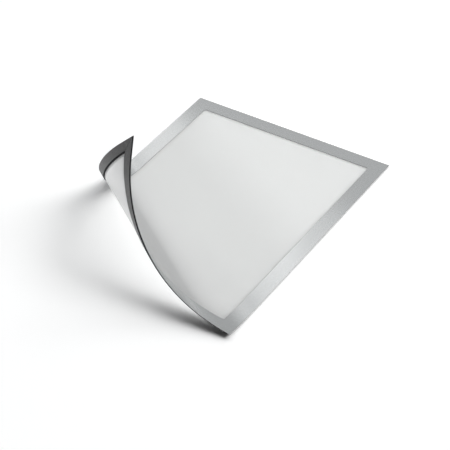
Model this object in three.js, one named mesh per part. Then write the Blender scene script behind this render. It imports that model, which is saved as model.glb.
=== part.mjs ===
// A magnetic display frame for one sheet of paper. It lies on a table with its front left corner
// peeled up and rolled back over the window, so that the magnet strips on its back show.
//
// Millimetres, +Z up. The origin is at table height under the middle of the frame, +X is along the
// short edges and +Y along the long ones, towards the top edge. The frame is one flexible laminate.
// Each layer is laid out flat at its own height, and all of them are rolled about the same bend lines.
import * as THREE from "three";
import { mergeVertices } from "three/addons/utils/BufferGeometryUtils.js";

// The sheet of paper that the frame shows, lying between the magnet strips.
const PAPER_WIDTH = 210;
const PAPER_HEIGHT = 297;
const PAPER_CLEARANCE = 0.5;

// Flexible magnet strips round the back, mitred where they meet, a little in from the outer edge.
const MAGNET_WIDTH = 12;
const MAGNET_INSET = 0.5;
const MAGNET_THICKNESS = 0.8;
const MITRE_GAP = 0.3;

// Dark tape that holds each magnet strip to the film. It reaches past the strip as a lip, still under
// its liner there, which the edge of the paper lies on.
const TAPE_THICKNESS = 0.1;
const TAPE_INSET = 0.1;
const TAPE_LIP = 2;

// Clear film over the whole frame.
const FILM_THICKNESS = 0.2;

// Silver face: one ring cut from metallised sheet, which reaches over the edge of the paper.
const FACE_THICKNESS = 0.25;
const FACE_OVER_PAPER = 3.5;
const WINDOW_CORNER_RADIUS = 2.5;
const WINDOW_CORNER_STEPS = 5;

// Play between layers that are stuck together.
const LAYER_GAP = 0.02;

// The peel starts at a line across the frame, given by how far below the top edge it meets the
// left and the right edge. Up to that line the frame lies flat.
const PEEL_START_LEFT = 129.8;
const PEEL_START_RIGHT = 273;

// From there the frame is rolled towards the corner: it lifts off, folds over and runs out
// in a wider roll. Each bend radius is reached at its distance past the start line.
const LIFT_RADIUS = 100;
const LIFT_AT = 20.2;
const FOLD_RADIUS = 50.4;
const FOLD_AT = 46.1;
const ROLL_RADIUS = 58;
const ROLL_AT = 76.8;
const TIP_RADIUS = 96.2;
const TIP_AT = 153.6;

// The bend lines fan out, because the corner is pulled more to the right than the start line faces.
const PEEL_FAN = THREE.MathUtils.degToRad(15);
const BEND_LINE_COUNT = 64;

// A corner of a layer this close to a bend line counts as lying on it.
const ON_LINE = 0.02;

const MAGNET_INNER = MAGNET_INSET + MAGNET_WIDTH;
const OUTER_WIDTH = PAPER_WIDTH + 2 * (PAPER_CLEARANCE + MAGNET_INNER);
const OUTER_HEIGHT = PAPER_HEIGHT + 2 * (PAPER_CLEARANCE + MAGNET_INNER);
const FACE_WIDTH = MAGNET_INNER + PAPER_CLEARANCE + FACE_OVER_PAPER;

const LEFT = -OUTER_WIDTH / 2;
const RIGHT = OUTER_WIDTH / 2;
const BOTTOM = -OUTER_HEIGHT / 2;
const TOP = OUTER_HEIGHT / 2;

// Height of the underside of each layer above the table, where the frame lies flat.
const TAPE_BASE = MAGNET_THICKNESS + LAYER_GAP;
const FILM_BASE = TAPE_BASE + TAPE_THICKNESS + LAYER_GAP;
const FACE_BASE = FILM_BASE + FILM_THICKNESS + LAYER_GAP;
const FRONT = FACE_BASE + FACE_THICKNESS;

// Curvature, one over the bend radius, at a distance past the start line of the peel.
function curvatureAt(distance) {
  const stations = [
    { at: 0, curvature: 0 },
    { at: LIFT_AT, curvature: 1 / LIFT_RADIUS },
    { at: FOLD_AT, curvature: 1 / FOLD_RADIUS },
    { at: ROLL_AT, curvature: 1 / ROLL_RADIUS },
    { at: TIP_AT, curvature: 1 / TIP_RADIUS },
  ];
  const next = Math.max(1, stations.findIndex((station) => station.at >= distance));
  const before = stations[next - 1];
  const after = stations[next];
  return THREE.MathUtils.mapLinear(distance, before.at, after.at, before.curvature, after.curvature);
}

// Turn about an axis that lies in the front face of the flat frame.
function turnAbout(line, angle) {
  const axis = new THREE.Vector3(line.along.x, line.along.y, 0);
  return new THREE.Matrix4()
    .makeTranslation(line.place.x, line.place.y, FRONT)
    .multiply(new THREE.Matrix4().makeRotationAxis(axis, angle))
    .multiply(new THREE.Matrix4().makeTranslation(-line.place.x, -line.place.y, -FRONT));
}

// The bend lines, from the start of the peel to the corner. Each is a straight line on the flat
// frame with a place on it, its direction along, the direction across it towards the corner, and
// the angle that the frame turns by there. The places follow a path square to every line.
function makeBendLines() {
  const slantAtStart = Math.atan2(PEEL_START_RIGHT - PEEL_START_LEFT, OUTER_WIDTH);
  const pitch = TIP_AT / BEND_LINE_COUNT;
  const place = new THREE.Vector2(0, TOP - (PEEL_START_LEFT + PEEL_START_RIGHT) / 2);
  const lines = [];
  for (let i = 0; i < BEND_LINE_COUNT; i += 1) {
    const distance = (i + 0.5) * pitch;
    const slant = slantAtStart + (PEEL_FAN * distance) / TIP_AT;
    const across = new THREE.Vector2(-Math.sin(slant), -Math.cos(slant));
    place.addScaledVector(across, pitch / 2);
    lines.push({
      place: place.clone(),
      along: new THREE.Vector2(Math.cos(slant), -Math.sin(slant)),
      across,
      angle: -pitch * curvatureAt(distance),
    });
    place.addScaledVector(across, pitch / 2);
  }
  return lines;
}

const bendLines = makeBendLines();

// What carries a point of the flat frame to its rolled place, by how many bend lines lie behind it.
// The turns run from the far line to the near one, so each line is still where it was drawn.
const rolls = [new THREE.Matrix4()];
for (const line of bendLines) {
  rolls.push(rolls.at(-1).clone().multiply(turnAbout(line, line.angle)));
}

function reachPast(line, point) {
  return (point.x - line.place.x) * line.across.x + (point.y - line.place.y) * line.across.y;
}

// Rolled place of a point of the flat frame. A point on a bend line is on the mitre between the two
// facets that meet there, so its depth below the front face grows with the mitre.
function rollPoint(point) {
  const next = bendLines.findIndex((line) => reachPast(line, point) < ON_LINE);
  if (next < 0) return point.clone().applyMatrix4(rolls.at(-1));
  const line = bendLines[next];
  if (reachPast(line, point) <= -ON_LINE) return point.clone().applyMatrix4(rolls[next]);
  const depth = (FRONT - point.z) / Math.cos(line.angle / 2);
  const onMitre = new THREE.Vector3(point.x, point.y, FRONT - depth);
  return onMitre.applyMatrix4(turnAbout(line, line.angle / 2)).applyMatrix4(rolls[next]);
}

// Cuts each facet of a closed mesh that a bend line crosses into the part before the line and the
// part past it. Neighbours share the points on their common edge, which keeps the mesh closed.
function scoreAlong(line, points, facets) {
  const reach = points.map((point) => reachPast(line, point));
  const sideOf = (corner) => (Math.abs(reach[corner]) < ON_LINE ? 0 : Math.sign(reach[corner]));
  const cuts = new Map();
  const cutBetween = (a, b) => {
    const [low, high] = a < b ? [a, b] : [b, a];
    const edge = `${low} ${high}`;
    if (!cuts.has(edge)) {
      const share = reach[low] / (reach[low] - reach[high]);
      cuts.set(edge, points.push(points[low].clone().lerp(points[high], share)) - 1);
    }
    return cuts.get(edge);
  };
  return facets.flatMap((facet) => {
    const sides = facet.map(sideOf);
    if (!sides.includes(1) || !sides.includes(-1)) return [facet];
    const before = [];
    const past = [];
    facet.forEach((corner, i) => {
      const next = (i + 1) % facet.length;
      if (sides[i] <= 0) before.push(corner);
      if (sides[i] >= 0) past.push(corner);
      if (sides[i] * sides[next] < 0) {
        const cut = cutBetween(corner, facet[next]);
        before.push(cut);
        past.push(cut);
      }
    });
    return [before, past];
  });
}

// One layer of the laminate: a flat outline, given its thickness at its own height and then rolled.
function makeLayer(outline, base, thickness) {
  const flat = new THREE.ExtrudeGeometry(outline, {
    depth: thickness,
    bevelEnabled: false,
    curveSegments: WINDOW_CORNER_STEPS,
  }).translate(0, 0, base);
  flat.deleteAttribute("normal");
  flat.deleteAttribute("uv");
  const merged = mergeVertices(flat);
  const corners = merged.getAttribute("position");
  const points = [];
  for (let i = 0; i < corners.count; i += 1) {
    points.push(new THREE.Vector3().fromBufferAttribute(corners, i));
  }
  let facets = [];
  for (let i = 0; i < merged.index.count; i += 3) {
    facets.push([0, 1, 2].map((step) => merged.index.getX(i + step)));
  }
  for (const line of bendLines) {
    facets = scoreAlong(line, points, facets);
  }
  const triangles = facets.flatMap((facet) =>
    facet.slice(2).map((corner, i) => [facet[0], facet[i + 1], corner]),
  );
  const rolled = new THREE.BufferGeometry().setFromPoints(points.map(rollPoint));
  rolled.setIndex(triangles.flat());
  const layer = rolled.toNonIndexed();
  layer.computeVertexNormals();
  return layer;
}

function rectangle(left, right, bottom, top) {
  return new THREE.Shape([
    new THREE.Vector2(left, bottom),
    new THREE.Vector2(right, bottom),
    new THREE.Vector2(right, top),
    new THREE.Vector2(left, top),
  ]);
}

// Outline of the silver face: the whole frame, with a window whose corners are slightly rounded.
function faceOutline() {
  const outline = rectangle(LEFT, RIGHT, BOTTOM, TOP);
  const x = RIGHT - FACE_WIDTH;
  const y = TOP - FACE_WIDTH;
  const radius = WINDOW_CORNER_RADIUS;
  const quarter = Math.PI / 2;
  const window = new THREE.Path();
  window.moveTo(-x + radius, -y);
  window.absarc(x - radius, -y + radius, radius, -quarter, 0);
  window.absarc(x - radius, y - radius, radius, 0, quarter);
  window.absarc(-x + radius, y - radius, radius, quarter, 2 * quarter);
  window.absarc(-x + radius, -y + radius, radius, 2 * quarter, 3 * quarter);
  outline.holes.push(window);
  return outline;
}

// Outline of a strip along one edge of the frame, between two distances in from that edge. Its ends
// are mitred, and each end keeps back from the corner's diagonal by half the mitre gap.
function stripOutline(edge, outer, inner) {
  const along = edge === "top" || edge === "bottom";
  const halfLength = (along ? OUTER_WIDTH : OUTER_HEIGHT) / 2;
  const halfAcross = (along ? OUTER_HEIGHT : OUTER_WIDTH) / 2;
  const endBack = (MITRE_GAP / 2) * Math.SQRT2;
  const quarterTurns = { top: 0, left: 1, bottom: 2, right: 3 }[edge];
  const corners = [
    new THREE.Vector2(halfLength - inner - endBack, halfAcross - inner),
    new THREE.Vector2(halfLength - outer - endBack, halfAcross - outer),
    new THREE.Vector2(-halfLength + outer + endBack, halfAcross - outer),
    new THREE.Vector2(-halfLength + inner + endBack, halfAcross - inner),
  ];
  const middle = new THREE.Vector2();
  const turn = (quarterTurns * Math.PI) / 2;
  return new THREE.Shape(corners.map((corner) => corner.rotateAround(middle, turn)));
}

const silver = new THREE.MeshStandardMaterial({ color: 0xb4b6b7, roughness: 0.35, metalness: 0.8 });
const clear = new THREE.MeshStandardMaterial({
  color: 0xe4e7e6,
  roughness: 0.25,
  metalness: 0,
  transparent: true,
  opacity: 0.5,
});
const magnet = new THREE.MeshStandardMaterial({ color: 0x2b2c2e, roughness: 0.7, metalness: 0 });
const tape = new THREE.MeshStandardMaterial({ color: 0x17181a, roughness: 0.5, metalness: 0 });

const frame = new THREE.Group();

function addLayer(name, material, geometry) {
  const mesh = new THREE.Mesh(geometry, material);
  mesh.name = name;
  frame.add(mesh);
}

const wholeFrame = rectangle(LEFT, RIGHT, BOTTOM, TOP);
addLayer("silver_face_frame", silver, makeLayer(faceOutline(), FACE_BASE, FACE_THICKNESS));
addLayer("clear_window_film", clear, makeLayer(wholeFrame, FILM_BASE, FILM_THICKNESS));

for (const edge of ["top", "right", "bottom", "left"]) {
  const magnetOutline = stripOutline(edge, MAGNET_INSET, MAGNET_INNER);
  addLayer(`magnet_strip_${edge}`, magnet, makeLayer(magnetOutline, 0, MAGNET_THICKNESS));

  const tapeOutline = stripOutline(edge, TAPE_INSET, MAGNET_INNER + TAPE_LIP);
  addLayer(`adhesive_strip_${edge}`, tape, makeLayer(tapeOutline, TAPE_BASE, TAPE_THICKNESS));
}

export default frame;
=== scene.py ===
"""A magnetic display frame on a white table, with its near left corner peeled up and rolled back.

The frame is one flexible laminate. Every layer is cut out flat, with its finish laid on it there,
and then all layers are rolled about the same fan of bend lines. Metres, +Z up.
"""
import math

import bmesh
import bpy
import numpy as np
from mathutils import Matrix, Vector


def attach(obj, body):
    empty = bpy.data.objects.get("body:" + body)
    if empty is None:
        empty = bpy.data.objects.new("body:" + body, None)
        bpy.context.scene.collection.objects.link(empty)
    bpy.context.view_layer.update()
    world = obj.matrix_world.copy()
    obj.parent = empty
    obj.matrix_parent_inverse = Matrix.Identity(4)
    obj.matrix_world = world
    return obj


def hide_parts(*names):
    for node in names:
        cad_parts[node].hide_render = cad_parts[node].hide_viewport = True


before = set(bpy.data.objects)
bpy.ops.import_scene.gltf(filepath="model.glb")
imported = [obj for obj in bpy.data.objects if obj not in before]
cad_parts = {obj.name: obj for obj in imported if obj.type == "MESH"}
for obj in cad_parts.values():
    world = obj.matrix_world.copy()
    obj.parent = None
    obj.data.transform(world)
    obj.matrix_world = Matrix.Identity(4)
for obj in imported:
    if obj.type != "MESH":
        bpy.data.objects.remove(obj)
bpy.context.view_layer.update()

MM = 0.001

# Outline of the frame, and how wide the silver border and the strips behind it are.
OUTER_WIDTH = 236 * MM
OUTER_HEIGHT = 323 * MM
FACE_WIDTH = 16.5 * MM
WINDOW_CORNER_RADIUS = 2.5 * MM
MAGNET_INSET = 0.5 * MM
MAGNET_INNER = 12.5 * MM
TAPE_INSET = 0.1 * MM
TAPE_INNER = 14.5 * MM
MITRE_GAP = 0.3 * MM

# Layers, from the table up.
MAGNET_THICKNESS = 0.8 * MM
TAPE_BASE = 0.82 * MM
TAPE_THICKNESS = 0.1 * MM
FILM_BASE = 0.94 * MM
FILM_THICKNESS = 0.2 * MM
FACE_BASE = 1.16 * MM
FACE_THICKNESS = 0.25 * MM
FRONT = FACE_BASE + FACE_THICKNESS

# The peel: where it starts on the left and the right edge, below the top edge, and the bend radius
# that it reaches at each distance past that line.
PEEL_START_LEFT = 129.8 * MM
PEEL_START_RIGHT = 273 * MM
PEEL_FAN = math.radians(15)
PEEL_LENGTH = 153.6 * MM
BEND_DISTANCES = [0, 20.2 * MM, 46.1 * MM, 76.8 * MM, PEEL_LENGTH]
BEND_RADII = [100 * MM, 50.4 * MM, 58 * MM, 96.2 * MM]
BEND_LINE_COUNT = 224

# Ribs pressed across the back of the magnet strips, a little shorter than the strips are wide.
RIB_PITCH = 2.5 * MM
RIB_WIDTH = 1.5 * MM
RIB_HEIGHT = 0.1 * MM
RIB_SHORTENING = 0.3 * MM
RIB_SIDES = 8

# Rounded rims, the fold between two faces that makes a rim, and the one that shows as a crease.
MAGNET_RIM_RADIUS = 0.08 * MM
FACE_RIM_RADIUS = 0.04 * MM
RIM_FOLD = math.radians(60)
CREASE_FOLD = math.radians(15)

# How near a bend line a point counts as lying on it.
ON_LINE = 0.004 * MM

# A face is a side wall where its normal rises or falls by less than this.
WALL_RISE = 0.5

# The order of the finishes on the silver face, on the film and on a magnet strip.
FACE_TOP, FACE_WINDOW_WALL, FACE_BACK, FACE_OUTER_WALL = range(4)
FILM_FRONT, FILM_BACK, FILM_EDGE = range(3)
MAGNET_GROOVE, MAGNET_SLIT_EDGE, MAGNET_RIB = range(3)

# Noise keeps mostly to this part of its range.
NOISE_LOW, NOISE_HIGH = 0.3, 0.7

# Distances between which a surface changes, past the start of the peel, or before it if negative.
# Painted shade on the silver, which is also duller there.
SILVER_PAINTED_SHADE_AND_DULLING = (0, 22 * MM)
# Painted reflection on the silver.
SILVER_PAINTED_REFLECTION = (42 * MM, 85 * MM)
# Painted shade on the outer edges.
EDGE_PAINTED_SHADE = (75 * MM, 110 * MM)
# Painted shade in the light that the film spreads, so the window darkens towards the peel.
FILM_SPREADS_PAINTED_SHADE = (-190 * MM, 30 * MM)
# Painted shade on the film's front.
FILM_FRONT_PAINTED_SHADE = (-12 * MM, 42 * MM)
# Painted light on the film's back.
FILM_BACK_PAINTED_LIGHT = (60 * MM, 120 * MM)

# The silver's roughness rises by this where it is bent.
BENT_ROUGHER = 0.1

# The film: how much light it spreads, how much passes straight to the eye and straight from a
# lamp, and how its gloss grows between two slants.
FILM_SPREAD = 0.7
SEEN_STRAIGHT = 0.3
LAMP_STRAIGHT = 0.82
GLOSS_SLANTS = (0.38, 0.71)
GLOSS_AT_LEAST = 0.07
GLOSS_ROUGHNESS = 0.32

# The table, in metres across and below the frame, its tone, and the tone above full white that the
# camera and gloss see.
TABLE_SIZE = 6
TABLE_DROP = 0.05 * MM
TABLE_TONE = 0.9
TABLE_TONE_SEEN = 1.345

# The room's tint and light, its walls as gloss sees them, and the glow behind the frame, whose soft
# edge runs from no glow to all of it.
ROOM_TINT = (0.975, 0.993, 1, 1)
ROOM_LIGHT = 0.03
WALLS_IN_GLOSS = 0.5
GLOW_LIGHT = 0.76
GLOW_EDGE = (0.35, 0.95)

# Metres from the frame to the softboxes and to the strip boxes, and the strip boxes' width.
BOX_DISTANCE = 8
STRIP_DISTANCE = 1.5
STRIP_WIDTH = 0.12


class Peel:
    """The roll of the corner, as straight bend lines on the flat frame and a turn about each."""

    def __init__(self):
        pitch = PEEL_LENGTH / BEND_LINE_COUNT
        distances = (np.arange(BEND_LINE_COUNT) + 0.5) * pitch
        curvatures = [0] + [1 / radius for radius in BEND_RADII]
        self.angles = -pitch * np.interp(distances, BEND_DISTANCES, curvatures)
        slant = math.atan2(PEEL_START_RIGHT - PEEL_START_LEFT, OUTER_WIDTH)
        slants = slant + PEEL_FAN * distances / PEEL_LENGTH
        self.across = np.stack([-np.sin(slants), -np.cos(slants)], axis=1)
        start = np.array([0, OUTER_HEIGHT / 2 - (PEEL_START_LEFT + PEEL_START_RIGHT) / 2])
        steps = self.across * pitch
        self.places = start + np.cumsum(steps, axis=0) - steps / 2
        self.rolls = [Matrix.Identity(4)]
        for place, across, angle in zip(self.places, self.across, self.angles):
            along = Vector((-across[1], across[0], 0))
            there = Matrix.Translation((place[0], place[1], FRONT))
            turn = there @ Matrix.Rotation(angle, 4, along) @ there.inverted()
            self.rolls.append(self.rolls[-1] @ turn)
        self.rolls = np.array([np.array(roll) for roll in self.rolls])

    def score(self, mesh):
        """Cuts the faces of a flat mesh along every bend line."""
        for place, across in zip(self.places, self.across):
            bmesh.ops.bisect_plane(
                mesh,
                geom=mesh.verts[:] + mesh.edges[:] + mesh.faces[:],
                dist=ON_LINE,
                plane_co=(place[0], place[1], 0),
                plane_no=(across[0], across[1], 0),
            )

    def roll(self, mesh):
        """Carries every point of a flat mesh to its rolled place."""
        flat = np.array([vert.co for vert in mesh.verts])
        offsets = flat[:, None, :2] - self.places[None]
        reach = np.einsum("vla,la->vl", offsets, self.across)
        wide = np.concatenate([flat, np.ones((len(flat), 1))], axis=1)
        passed = (reach > 2 * ON_LINE).sum(axis=1)
        reached = (reach > -2 * ON_LINE).sum(axis=1)
        rolled = sum(np.einsum("vij,vj->vi", self.rolls[n], wide) for n in (passed, reached)) / 2
        for vert, place in zip(mesh.verts, rolled):
            vert.co = place[:3]


PEEL = Peel()


def rectangle(left, right, bottom, top):
    """The corners of a rectangle, in order round it."""
    return [(left, bottom), (right, bottom), (right, top), (left, top)]


def rounded_rectangle(half_width, half_height, radius, steps=8):
    """The corners of a rectangle about the middle, each an arc of the given radius."""
    points = []
    for quarter, (side_x, side_y) in enumerate([(1, -1), (1, 1), (-1, 1), (-1, -1)]):
        for step in range(steps + 1):
            angle = math.pi / 2 * (quarter - 1 + step / steps)
            x = side_x * (half_width - radius) + radius * math.cos(angle)
            y = side_y * (half_height - radius) + radius * math.sin(angle)
            points.append((x, y))
    return points


def edge_turn(edge):
    """Carries a strip that lies along the top edge round to the edge named."""
    quarters = ["top", "left", "bottom", "right"].index(edge)
    return Matrix.Rotation(math.radians(90) * quarters, 4, "Z")


def half_sizes(edge):
    """Half of the frame along an edge, and half of it across."""
    if edge in ("top", "bottom"):
        return OUTER_WIDTH / 2, OUTER_HEIGHT / 2
    return OUTER_HEIGHT / 2, OUTER_WIDTH / 2


def strip_outline(edge, outer, inner):
    """A strip along the top edge, with mitred ends that keep back from the diagonal."""
    half_length, half_across = half_sizes(edge)
    back = MITRE_GAP / math.sqrt(2)
    return [
        (half_length - inner - back, half_across - inner),
        (half_length - outer - back, half_across - outer),
        (-half_length + outer + back, half_across - outer),
        (-half_length + inner + back, half_across - inner),
    ]


def cut_out(outline, base, thickness, window=None, edge_radius=0):
    """A flat layer: an outline with an optional window, raised to its thickness."""
    mesh = bmesh.new()
    edges = []
    for loop in [outline] + ([window] if window else []):
        verts = [mesh.verts.new((x, y, base)) for x, y in loop]
        edges += [mesh.edges.new((vert, verts[i - 1])) for i, vert in enumerate(verts)]
    bmesh.ops.triangle_fill(mesh, use_beauty=True, use_dissolve=True, edges=edges)
    raised = bmesh.ops.extrude_face_region(mesh, geom=mesh.faces[:])["geom"]
    lifted = [item for item in raised if isinstance(item, bmesh.types.BMVert)]
    bmesh.ops.translate(mesh, verts=lifted, vec=(0, 0, thickness))
    bmesh.ops.recalc_face_normals(mesh, faces=mesh.faces[:])
    if edge_radius:
        rims = [edge for edge in mesh.edges if edge.calc_face_angle(0) > RIM_FOLD]
        bmesh.ops.bevel(
            mesh, geom=rims, offset=edge_radius, segments=2, profile=0.5, affect="EDGES"
        )
    mesh.normal_update()
    return mesh


def finish_layer(name, mesh, node, materials):
    """Rolls a flat layer with its lying place kept for its finish, and sets it in the frame."""
    PEEL.score(mesh)
    bmesh.ops.triangulate(mesh, faces=[face for face in mesh.faces if len(face.verts) > 4])
    laid = mesh.verts.layers.float_vector.new("laid_flat")
    for vert in mesh.verts:
        vert[laid] = vert.co
    PEEL.roll(mesh)
    data = bpy.data.meshes.new(name)
    mesh.to_mesh(data)
    mesh.free()
    for material in materials:
        data.materials.append(material)
    data.shade_smooth()
    data.set_sharp_from_angle(angle=CREASE_FOLD)
    piece = bpy.data.objects.new(name, data)
    bpy.context.scene.collection.objects.link(piece)
    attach(piece, "root")
    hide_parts(node)


class Finish:
    """A material under construction: one Principled shader and short calls for what feeds it."""

    def __init__(self, name):
        self.material = bpy.data.materials.new(name)
        self.material.use_nodes = True
        self.nodes = self.material.node_tree.nodes
        self.links = self.material.node_tree.links
        self.shader = self.nodes["Principled BSDF"]
        self.laid = self.nodes.new("ShaderNodeAttribute")
        self.laid.attribute_name = "laid_flat"

    def set(self, **values):
        for name, value in values.items():
            self.shader.inputs[name.replace("_", " ")].default_value = value

    def noise(self, stretch, detail=4):
        """Noise on the lying frame: stretch is the size of a speck in metres along X, Y and Z."""
        mapping = self.nodes.new("ShaderNodeMapping")
        mapping.inputs["Scale"].default_value = [1 / size for size in stretch]
        noise = self.nodes.new("ShaderNodeTexNoise")
        noise.inputs["Scale"].default_value = 1
        noise.inputs["Detail"].default_value = detail
        noise.inputs["Roughness"].default_value = 0.6
        self.links.new(self.laid.outputs["Vector"], mapping.inputs["Vector"])
        self.links.new(mapping.outputs["Vector"], noise.inputs["Vector"])
        return noise.outputs["Fac"]

    def between(self, factor, low, high):
        """A number or colour between low and high, as noise goes over the range it keeps to."""
        if isinstance(low, tuple):
            ramp = self.nodes.new("ShaderNodeValToRGB")
            ramp.color_ramp.elements[0].position = NOISE_LOW
            ramp.color_ramp.elements[1].position = NOISE_HIGH
            ramp.color_ramp.elements[0].color = (*low, 1)
            ramp.color_ramp.elements[1].color = (*high, 1)
            self.links.new(factor, ramp.inputs["Fac"])
            return ramp.outputs["Color"]
        spread = self.nodes.new("ShaderNodeMapRange")
        spread.inputs["From Min"].default_value = NOISE_LOW
        spread.inputs["From Max"].default_value = NOISE_HIGH
        spread.inputs["To Min"].default_value = low
        spread.inputs["To Max"].default_value = high
        self.links.new(factor, spread.inputs["Value"])
        return spread.outputs["Result"]

    def past_peel(self, low, high):
        """A number that rises from 0 to 1 between two distances past the start of the peel."""
        across = PEEL.across[0]
        reach = self.nodes.new("ShaderNodeVectorMath")
        reach.operation = "DOT_PRODUCT"
        reach.inputs[1].default_value = (across[0], across[1], 0)
        self.links.new(self.laid.outputs["Vector"], reach.inputs[0])
        start = float(PEEL.places[0] @ across)
        share = self.nodes.new("ShaderNodeMapRange")
        share.interpolation_type = "SMOOTHSTEP"
        share.inputs["From Min"].default_value = start + low
        share.inputs["From Max"].default_value = start + high
        self.links.new(reach.outputs["Value"], share.inputs["Value"])
        return share.outputs["Result"]

    def towards(self, share, low, high):
        """The colour low, turning to high as the share goes from 0 to 1."""
        mix = self.nodes.new("ShaderNodeMix")
        mix.data_type = "RGBA"
        self.links.new(share, mix.inputs["Factor"])
        self.links.new(low, mix.inputs["A"])
        self.links.new(high, mix.inputs["B"])
        return mix.outputs["Result"]

    def feed(self, name, source):
        self.links.new(source, self.shader.inputs[name])

    def bump(self, height, depth):
        bump = self.nodes.new("ShaderNodeBump")
        bump.inputs["Distance"].default_value = depth
        self.links.new(height, bump.inputs["Height"])
        self.links.new(bump.outputs["Normal"], self.shader.inputs["Normal"])

    def blend(self, share, other):
        """Gives a share of the surface to another shader."""
        output = self.nodes["Material Output"].inputs["Surface"]
        mix = self.nodes.new("ShaderNodeMixShader")
        if isinstance(share, float):
            mix.inputs["Fac"].default_value = share
        else:
            self.links.new(share, mix.inputs["Fac"])
        self.links.new(output.links[0].from_socket, mix.inputs[1])
        self.links.new(other.outputs["BSDF"], mix.inputs[2])
        self.links.new(mix.outputs["Shader"], output)


def silver_finish():
    """Metallised sheet with a fine mottled grain, duller where it starts to bend. Its colour is
    painted there: painted shade darkens it where it starts to bend, and a painted reflection pales
    it further round the roll."""
    finish = Finish("mottled_silver_painted_shading")
    finish.set(Metallic=1.0)
    grain = finish.noise((1.6 * MM, 1.6 * MM, 1))
    cloud = finish.noise((40 * MM, 40 * MM, 1), detail=2)
    bent = finish.past_peel(*SILVER_PAINTED_SHADE_AND_DULLING)
    dull = finish.nodes.new("ShaderNodeMath")
    dull.operation = "MULTIPLY_ADD"
    dull.inputs[1].default_value = BENT_ROUGHER
    finish.links.new(bent, dull.inputs[0])
    finish.links.new(finish.between(cloud, 0.12, 0.14), dull.inputs[2])
    finish.feed("Roughness", dull.outputs["Value"])
    # The grain's tone, with painted shade that darkens it where the sheet starts to bend and a
    # painted reflection that pales it further round the roll.
    flat_tone = finish.between(grain, (0.48, 0.486, 0.486), (0.545, 0.551, 0.551))
    painted_shading_tone = finish.between(grain, (0.42, 0.426, 0.426), (0.475, 0.482, 0.482))
    rolled = finish.past_peel(*SILVER_PAINTED_REFLECTION)
    painted_reflection_tone = finish.between(grain, (0.62, 0.627, 0.627), (0.7, 0.708, 0.708))
    tone = finish.towards(rolled, finish.towards(bent, flat_tone, painted_shading_tone), painted_reflection_tone)
    finish.feed("Base Color", tone)
    finish.bump(grain, 0.002 * MM)
    return finish.material


def cut_edge_finish():
    """The cut edge of the silver sheet round the window, painted near black as painted shade."""
    finish = Finish("silver_sheet_cut_edge_painted_shade")
    speck = finish.noise((0.5 * MM, 0.5 * MM, 0.2 * MM))
    finish.set(Specular_IOR_Level=0.3)
    finish.feed("Base Color", finish.between(speck, (0.03, 0.031, 0.033), (0.06, 0.062, 0.065)))
    finish.feed("Roughness", finish.between(speck, 0.5, 0.65))
    return finish.material


def primed_back_finish():
    """The white back of the silver sheet."""
    finish = Finish("silver_sheet_white_back")
    speck = finish.noise((1.2 * MM, 1.2 * MM, 0.3 * MM))
    finish.feed("Base Color", finish.between(speck, (0.80, 0.80, 0.80), (0.86, 0.86, 0.86)))
    finish.feed("Roughness", finish.between(speck, 0.5, 0.6))
    return finish.material


def outer_edge_finish():
    """The outer edges of the sheet and the film: pale, and painted dark where they are rolled up,
    as painted shade.
    """
    finish = Finish("sheet_outer_edge_with_painted_shade")
    speck = finish.noise((0.8 * MM, 0.8 * MM, 0.2 * MM))
    pale = finish.between(speck, (0.78, 0.78, 0.78), (0.86, 0.86, 0.86))
    # Painted shade: the dark tone the edges take where they are rolled up.
    dark = finish.between(speck, (0.02, 0.021, 0.023), (0.04, 0.042, 0.045))
    rolled = finish.past_peel(*EDGE_PAINTED_SHADE)
    finish.feed("Base Color", finish.towards(rolled, pale, dark))
    finish.feed("Roughness", finish.between(speck, 0.5, 0.6))
    finish.set(Specular_IOR_Level=0.2)
    return finish.material


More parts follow.
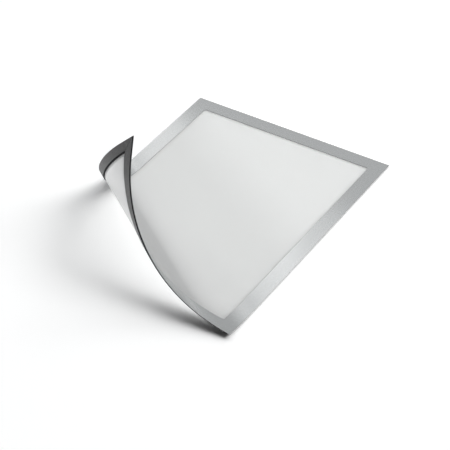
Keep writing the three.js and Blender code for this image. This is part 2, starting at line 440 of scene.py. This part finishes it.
def film_finish(name, bent, painted_shading_tone, gloss_at_most, gloss_greys):
    """Clear film with a fine frost, which spreads what is seen through it but lets most of a lamp's
    light pass. Between the two distances of bent, past the peel's start, its colour turns to the
    painted shading tone: painted shade on the front, painted light on the back. Seen at a slant it
    turns to gloss, whose greys are given with their slants."""
    finish = Finish(name)
    new, link = finish.nodes.new, finish.links.new
    frost = finish.noise((0.35 * MM, 0.35 * MM, 0.35 * MM), detail=3)
    cloud = finish.noise((90 * MM, 90 * MM, 1), detail=2)
    # Past the peel the colour turns to the painted shading tone: painted shade on the front,
    # painted light on the back.
    share = finish.past_peel(*bent)
    low, high = painted_shading_tone - 0.01, painted_shading_tone + 0.01
    rolled = finish.between(frost, (low, low, low), (high, high, high))
    clouded = finish.between(cloud, (0.725, 0.73, 0.73), (0.76, 0.765, 0.76))
    finish.feed("Base Color", finish.towards(share, clouded, rolled))
    finish.feed("Roughness", finish.between(frost, 0.28, 0.36))
    finish.bump(frost, 0.004 * MM)
    spread = new("ShaderNodeBsdfTranslucent")
    # Painted shade: the light that the film spreads turns darker towards the peel, so the window
    # darkens towards it.
    painted_shade_share = finish.past_peel(*FILM_SPREADS_PAINTED_SHADE)
    lying = finish.between(painted_shade_share, (0.925, 0.93, 0.925), (0.845, 0.85, 0.845))
    link(finish.towards(share, lying, rolled), spread.inputs["Color"])
    finish.blend(FILM_SPREAD, spread)

    straight = new("ShaderNodeBsdfTransparent")
    path = new("ShaderNodeLightPath")
    passing = new("ShaderNodeMapRange")
    passing.inputs["To Min"].default_value = SEEN_STRAIGHT
    passing.inputs["To Max"].default_value = LAMP_STRAIGHT
    link(path.outputs["Is Shadow Ray"], passing.inputs["Value"])
    finish.blend(passing.outputs["Result"], straight)

    slant = new("ShaderNodeLayerWeight")
    sheen = new("ShaderNodeMapRange")
    sheen.interpolation_type = "SMOOTHSTEP"
    sheen.inputs["From Min"].default_value = GLOSS_SLANTS[0]
    sheen.inputs["From Max"].default_value = GLOSS_SLANTS[1]
    sheen.inputs["To Min"].default_value = GLOSS_AT_LEAST
    sheen.inputs["To Max"].default_value = gloss_at_most
    link(slant.outputs["Facing"], sheen.inputs["Value"])
    mirrored = new("ShaderNodeValToRGB")
    stops = mirrored.color_ramp.elements
    while len(stops) < len(gloss_greys):
        stops.new(0.5)
    for stop, (place, grey) in zip(stops, gloss_greys):
        stop.position = place
        stop.color = (grey, grey, grey, 1)
    link(slant.outputs["Facing"], mirrored.inputs["Fac"])
    gloss = new("ShaderNodeBsdfGlossy")
    gloss.inputs["Roughness"].default_value = GLOSS_ROUGHNESS
    link(mirrored.outputs["Color"], gloss.inputs["Color"])
    finish.blend(sheen.outputs["Result"], gloss)
    return finish.material


def magnet_finish(name, low, high):
    """Dark magnet rubber with a matt, mottled skin, between two greys."""
    finish = Finish(name)
    grit = finish.noise((0.5 * MM, 0.5 * MM, 0.5 * MM))
    cloud = finish.noise((4 * MM, 4 * MM, 4 * MM), detail=5)
    tones = [(grey, grey, grey * 1.03) for grey in (low, high)]
    finish.feed("Base Color", finish.between(cloud, *tones))
    finish.feed("Roughness", finish.between(grit, 0.3, 0.4))
    finish.bump(grit, 0.012 * MM)
    return finish.material


def magnet_edge_finish():
    """The slit edge of a magnet strip, blacker than its skin."""
    finish = Finish("magnet_slit_edge")
    grit = finish.noise((0.2 * MM, 0.2 * MM, 0.2 * MM), detail=5)
    finish.set(Specular_IOR_Level=0.15)
    finish.feed("Base Color", finish.between(grit, (0.006, 0.006, 0.007), (0.014, 0.014, 0.016)))
    finish.feed("Roughness", finish.between(grit, 0.6, 0.75))
    return finish.material


def tape_finish():
    """Dark double-sided tape."""
    finish = Finish("double_sided_tape")
    speck = finish.noise((0.8 * MM, 0.8 * MM, 0.8 * MM))
    finish.set(Specular_IOR_Level=0.2)
    finish.feed("Base Color", finish.between(speck, (0.007, 0.007, 0.008), (0.014, 0.014, 0.015)))
    finish.feed("Roughness", finish.between(speck, 0.5, 0.65))
    return finish.material


def make_rib_tree(material):
    """Geometry Nodes that lay low rounded ribs across a strip, one pitch apart along X."""
    tree = bpy.data.node_groups.new("strip_ribs", "GeometryNodeTree")
    sockets = {}
    for name in ("Length", "Pitch", "Rib Width", "Rib Length", "Rib Height"):
        sockets[name] = tree.interface.new_socket(
            name, in_out="INPUT", socket_type="NodeSocketFloat"
        ).identifier
    tree.interface.new_socket("Geometry", in_out="OUTPUT", socket_type="NodeSocketGeometry")
    new = tree.nodes.new
    link = tree.links.new
    given = new("NodeGroupInput")

    count = new("ShaderNodeMath")
    count.operation = "DIVIDE"
    link(given.outputs["Length"], count.inputs[0])
    link(given.outputs["Pitch"], count.inputs[1])

    half_length = new("ShaderNodeMath")
    half_length.operation = "MULTIPLY"
    half_length.inputs[1].default_value = -0.5
    link(given.outputs["Length"], half_length.inputs[0])
    start = new("ShaderNodeCombineXYZ")
    link(half_length.outputs[0], start.inputs["X"])
    step = new("ShaderNodeCombineXYZ")
    link(given.outputs["Pitch"], step.inputs["X"])

    row = new("GeometryNodeMeshLine")
    link(count.outputs[0], row.inputs["Count"])
    link(start.outputs[0], row.inputs["Start Location"])
    link(step.outputs[0], row.inputs["Offset"])

    half_width = new("ShaderNodeMath")
    half_width.operation = "MULTIPLY"
    half_width.inputs[1].default_value = 0.5
    link(given.outputs["Rib Width"], half_width.inputs[0])
    size = new("ShaderNodeCombineXYZ")
    link(half_width.outputs[0], size.inputs["X"])
    link(given.outputs["Rib Height"], size.inputs["Y"])
    link(given.outputs["Rib Length"], size.inputs["Z"])
    rod = new("GeometryNodeMeshCylinder")
    rod.inputs["Vertices"].default_value = RIB_SIDES
    rod.inputs["Radius"].default_value = 1
    rod.inputs["Depth"].default_value = 1
    rib = new("GeometryNodeTransform")
    rib.inputs["Rotation"].default_value = (math.radians(90), 0, 0)
    link(rod.outputs["Mesh"], rib.inputs["Geometry"])
    link(size.outputs[0], rib.inputs["Scale"])

    copies = new("GeometryNodeInstanceOnPoints")
    link(row.outputs["Mesh"], copies.inputs["Points"])
    link(rib.outputs["Geometry"], copies.inputs["Instance"])
    real = new("GeometryNodeRealizeInstances")
    link(copies.outputs["Instances"], real.inputs["Geometry"])
    coat = new("GeometryNodeSetMaterial")
    coat.inputs["Material"].default_value = material
    link(real.outputs["Geometry"], coat.inputs["Geometry"])
    out = new("NodeGroupOutput")
    link(coat.outputs["Geometry"], out.inputs["Geometry"])
    return tree, sockets


def lay_ribs(edge, tree, sockets):
    """The ribs of one strip, as a plain mesh that lies along the top edge."""
    half_length, half_across = half_sizes(edge)
    holder = bpy.data.objects.new("ribs", bpy.data.meshes.new("ribs"))
    bpy.context.scene.collection.objects.link(holder)
    rows = holder.modifiers.new("ribs", "NODES")
    rows.node_group = tree
    rows[sockets["Length"]] = 2 * half_length
    rows[sockets["Pitch"]] = RIB_PITCH
    rows[sockets["Rib Width"]] = RIB_WIDTH
    rows[sockets["Rib Length"]] = MAGNET_INNER - MAGNET_INSET - RIB_SHORTENING
    rows[sockets["Rib Height"]] = RIB_HEIGHT
    seen = holder.evaluated_get(bpy.context.evaluated_depsgraph_get())
    ribs = bpy.data.meshes.new_from_object(seen)
    holder.modifiers.remove(rows)
    bpy.data.objects.remove(holder)
    middle = half_across - (MAGNET_INSET + MAGNET_INNER) / 2
    ribs.transform(Matrix.Translation((0, middle, RIB_HEIGHT)))
    return ribs


def trim_to_mitres(mesh, edge):
    """Cuts ribs off just inside the mitred ends of their strip."""
    half_length, half_across = half_sizes(edge)
    reach = half_length - MITRE_GAP
    for side in (1, -1):
        bmesh.ops.bisect_plane(
            mesh,
            geom=mesh.verts[:] + mesh.edges[:] + mesh.faces[:],
            plane_co=(side * reach, half_across, 0),
            plane_no=(side, -1, 0),
            clear_outer=True,
        )
        rims = [rim for rim in mesh.edges if rim.is_boundary]
        bmesh.ops.holes_fill(mesh, edges=rims, sides=0)


def make_magnet_strip(edge, finishes, tree, sockets):
    """One mitred magnet strip with the ribs on its back, which lies on the table."""
    outline = strip_outline(edge, MAGNET_INSET, MAGNET_INNER)
    thickness = MAGNET_THICKNESS - RIB_HEIGHT
    mesh = cut_out(outline, RIB_HEIGHT, thickness, edge_radius=MAGNET_RIM_RADIUS)
    for face in mesh.faces:
        wall = abs(face.normal.z) < WALL_RISE
        face.material_index = MAGNET_SLIT_EDGE if wall else MAGNET_GROOVE
    ribs = bmesh.new()
    ribs.from_mesh(lay_ribs(edge, tree, sockets))
    trim_to_mitres(ribs, edge)
    for face in ribs.faces:
        face.material_index = MAGNET_RIB
    trimmed = bpy.data.meshes.new("trimmed_ribs")
    ribs.to_mesh(trimmed)
    ribs.free()
    mesh.from_mesh(trimmed)
    mesh.transform(edge_turn(edge))
    finish_layer(f"magnet_{edge}", mesh, f"magnet_strip_{edge}", finishes)


def make_tape_strip(edge, finishes):
    """The tape between one magnet strip and the film, with a lip past the strip's inner side."""
    outline = strip_outline(edge, TAPE_INSET, TAPE_INNER)
    mesh = cut_out(outline, TAPE_BASE, TAPE_THICKNESS)
    mesh.transform(edge_turn(edge))
    finish_layer(f"tape_{edge}", mesh, f"adhesive_strip_{edge}", finishes)


def make_silver_face(finishes):
    """The silver ring round the window, with rounded rims."""
    half_width, half_height = OUTER_WIDTH / 2, OUTER_HEIGHT / 2
    whole = rectangle(-half_width, half_width, -half_height, half_height)
    window = rounded_rectangle(
        half_width - FACE_WIDTH, half_height - FACE_WIDTH, WINDOW_CORNER_RADIUS
    )
    mesh = cut_out(whole, FACE_BASE, FACE_THICKNESS, window, edge_radius=FACE_RIM_RADIUS)
    for face in mesh.faces:
        if face.normal.z < -WALL_RISE:
            face.material_index = FACE_BACK
        elif face.normal.z < WALL_RISE:
            middle = face.calc_center_median()
            outer = abs(middle.x) > half_width - MM or abs(middle.y) > half_height - MM
            # Walls round the window take the cut edge's painted shade, outer walls the pale edge.
            face.material_index = FACE_OUTER_WALL if outer else FACE_WINDOW_WALL
        else:
            face.material_index = FACE_TOP
    finish_layer("silver_face", mesh, "silver_face_frame", finishes)


def make_window_film(finishes):
    """The sheet of film that closes the window and backs the whole silver ring."""
    half_width, half_height = OUTER_WIDTH / 2, OUTER_HEIGHT / 2
    whole = rectangle(-half_width, half_width, -half_height, half_height)
    mesh = cut_out(whole, FILM_BASE, FILM_THICKNESS)
    for face in mesh.faces:
        if face.normal.z < -WALL_RISE:
            face.material_index = FILM_BACK
        elif face.normal.z < WALL_RISE:
            face.material_index = FILM_EDGE
        else:
            face.material_index = FILM_FRONT
    finish_layer("window_film", mesh, "clear_window_film", finishes)


def make_frame():
    """All ten pieces of the frame, each with its finishes."""
    # The one rubber takes two tones: the grooves' skin darker as painted shade, the ribs paler as
    # painted light.
    groove = magnet_finish("magnet_rubber_grooves_painted_shade", 0.015, 0.04)
    rib = magnet_finish("magnet_rubber_ribs_painted_light", 0.036, 0.09)
    magnet = [groove, magnet_edge_finish(), rib]
    tape = [tape_finish()]
    tree, sockets = make_rib_tree(rib)
    outer_edge = outer_edge_finish()
    # The front's colour is painted darker near the peel, as painted shade.
    front = film_finish(
        "frosted_film_front_painted_shade",
        bent=FILM_FRONT_PAINTED_SHADE,
        painted_shading_tone=0.7,
        gloss_at_most=0.7,
        gloss_greys=[(0.42, 0.85), (0.56, 0.46), (0.75, 0.74)],
    )
    # The back's colour is painted paler round the roll, as painted light.
    back = film_finish(
        "frosted_film_back_painted_light",
        bent=FILM_BACK_PAINTED_LIGHT,
        painted_shading_tone=0.99,
        gloss_at_most=0.3,
        gloss_greys=[(0, 0.9), (1, 0.9)],
    )
    make_silver_face([silver_finish(), cut_edge_finish(), primed_back_finish(), outer_edge])
    make_window_film([front, back, outer_edge])
    for edge in ("top", "right", "bottom", "left"):
        make_magnet_strip(edge, magnet, tree, sockets)
        make_tape_strip(edge, tape)


def place_camera():
    """The photograph's view, from the front right. Gives back where the eye is."""
    azimuth = math.radians(31.364)
    elevation = math.radians(38.255)
    roll = math.radians(-0.568)
    distance = 1.9272
    aim = Vector((23.763 * MM, -16.424 * MM, 0))
    back = Vector(
        (
            math.sin(azimuth) * math.cos(elevation),
            -math.cos(azimuth) * math.cos(elevation),
            math.sin(elevation),
        )
    )
    level = Vector((0, 0, 1)).cross(back).normalized()
    up = back.cross(level)
    right = level * math.cos(roll) - up * math.sin(roll)
    up = back.cross(right)
    data = bpy.data.cameras.new("camera")
    data.sensor_width = 36
    data.lens = 151.86
    data.clip_end = 20
    camera = bpy.data.objects.new("camera", data)
    turn = Matrix((right, up, back)).transposed().to_4x4()
    camera.matrix_world = Matrix.Translation(aim + back * distance) @ turn
    bpy.context.scene.collection.objects.link(camera)
    bpy.context.scene.camera = camera
    return aim + back * distance


def softbox(name, place, aim, width, length, along, brightness):
    """An even panel that faces aim, with its length along a direction. Brightness 1 is white."""
    towards = (place - aim).normalized()
    across = along.cross(towards).normalized()
    along = towards.cross(across)
    data = bpy.data.lights.new(name, "AREA")
    data.shape = "RECTANGLE"
    data.size = width
    data.size_y = length
    data.energy = brightness * math.pi * width * length
    lamp = bpy.data.objects.new(name, data)
    turn = Matrix((across, along, towards)).transposed().to_4x4()
    lamp.matrix_world = Matrix.Translation(place) @ turn
    bpy.context.scene.collection.objects.link(lamp)
    return lamp


def direction(azimuth, elevation):
    """A direction from its angle round from +X and its height above the table."""
    azimuth = math.radians(azimuth)
    elevation = math.radians(elevation)
    level = math.cos(elevation)
    return Vector((math.cos(azimuth) * level, math.sin(azimuth) * level, math.sin(elevation)))


def square_box(name, azimuth, elevation, spread, share):
    """A large, far softbox whose sides span an angle as seen from the frame. Its share is the part
    of full white that it gives a surface facing it. No gloss mirrors it, so that the silver stays
    silver, and not white, where it faces one."""
    size = 2 * BOX_DISTANCE * math.tan(math.radians(spread) / 2)
    brightness = share * math.pi * (BOX_DISTANCE / size) ** 2
    place = direction(azimuth, elevation) * BOX_DISTANCE
    box = softbox(name, place, Vector((0, 0, 0)), size, size, Vector((0, 0, 1)), brightness)
    box.visible_glossy = False


def make_room():
    """A dim room with a glow low down behind the frame, which the silver mirrors. In gloss the
    rest of the room is grey walls, so the silver looks silver from every side."""
    world = bpy.data.worlds.new("studio")
    bpy.context.scene.world = world
    world.use_nodes = True
    nodes = world.node_tree.nodes
    links = world.node_tree.links
    room = nodes["Background"]
    room.inputs["Color"].default_value = ROOM_TINT
    looking = nodes.new("ShaderNodeTexCoord")
    facing = nodes.new("ShaderNodeVectorMath")
    facing.operation = "DOT_PRODUCT"
    facing.inputs[1].default_value = direction(112, 28)
    links.new(looking.outputs["Generated"], facing.inputs[0])
    glow = nodes.new("ShaderNodeMapRange")
    glow.interpolation_type = "SMOOTHSTEP"
    glow.inputs["From Min"].default_value = GLOW_EDGE[0]
    glow.inputs["From Max"].default_value = GLOW_EDGE[1]
    glow.inputs["To Max"].default_value = GLOW_LIGHT
    links.new(facing.outputs["Value"], glow.inputs["Value"])
    path = nodes.new("ShaderNodeLightPath")
    walls = nodes.new("ShaderNodeMapRange")
    walls.inputs["To Min"].default_value = ROOM_LIGHT
    walls.inputs["To Max"].default_value = WALLS_IN_GLOSS
    links.new(path.outputs["Is Glossy Ray"], walls.inputs["Value"])
    links.new(walls.outputs["Result"], glow.inputs["To Min"])
    links.new(glow.outputs["Result"], room.inputs["Strength"])


def light_scene(eye):
    """Soft studio light: a wide key with a brighter core from the back right, boxes beside it and
    behind, and a weak one from the left. Two strip boxes stand where the sheet mirrors them to the
    eye as a bright stripe, whose ends on the sheet are given in millimetres."""
    make_room()
    square_box("key", azimuth=30.7, elevation=46, spread=36, share=0.41)
    square_box("key_core", azimuth=30.7, elevation=46, spread=19, share=0.11)
    square_box("side", azimuth=60, elevation=46, spread=19, share=0.125)
    square_box("back", azimuth=90, elevation=36, spread=19, share=0.15)
    square_box("left", azimuth=150, elevation=45, spread=19, share=0.045)

    mirrored = Vector((eye.x, eye.y, -eye.z))
    for name, left, right, length, brightness in (
        ("strip", (-110, 68), (110, -64), 0.75, 0.68),
        ("short_strip", (10, 20), (110, 13), 0.3, 0.47),
    ):
        left_end = Vector((left[0] * MM, left[1] * MM, FRONT))
        right_end = Vector((right[0] * MM, right[1] * MM, FRONT))
        crossing = (left_end + right_end) / 2
        beyond = (crossing - mirrored).normalized()
        along = right_end - left_end
        place = crossing + beyond * STRIP_DISTANCE
        softbox(name, place, crossing, STRIP_WIDTH, length, along, brightness)


def lay_floor():
    """A white table. What the camera and gloss see of it is paler than what lights the frame."""
    bpy.ops.mesh.primitive_plane_add(size=TABLE_SIZE, location=(0, 0, -TABLE_DROP))
    floor = bpy.context.object
    floor.name = "table_top"
    material = bpy.data.materials.new("white_table")
    material.use_nodes = True
    nodes = material.node_tree.nodes
    links = material.node_tree.links
    shader = nodes["Principled BSDF"]
    shader.inputs["Roughness"].default_value = 0.9
    shader.inputs["Specular IOR Level"].default_value = 0.0
    path = nodes.new("ShaderNodeLightPath")
    seen = nodes.new("ShaderNodeMath")
    seen.operation = "MAXIMUM"
    links.new(path.outputs["Is Camera Ray"], seen.inputs[0])
    links.new(path.outputs["Is Glossy Ray"], seen.inputs[1])
    tone = nodes.new("ShaderNodeMapRange")
    tone.inputs["To Min"].default_value = TABLE_TONE
    tone.inputs["To Max"].default_value = TABLE_TONE_SEEN
    links.new(seen.outputs[0], tone.inputs["Value"])
    links.new(tone.outputs["Result"], shader.inputs["Base Color"])
    floor.data.materials.append(material)


bpy.context.scene.view_settings.view_transform = "Standard"
light_scene(place_camera())
lay_floor()
make_frame()
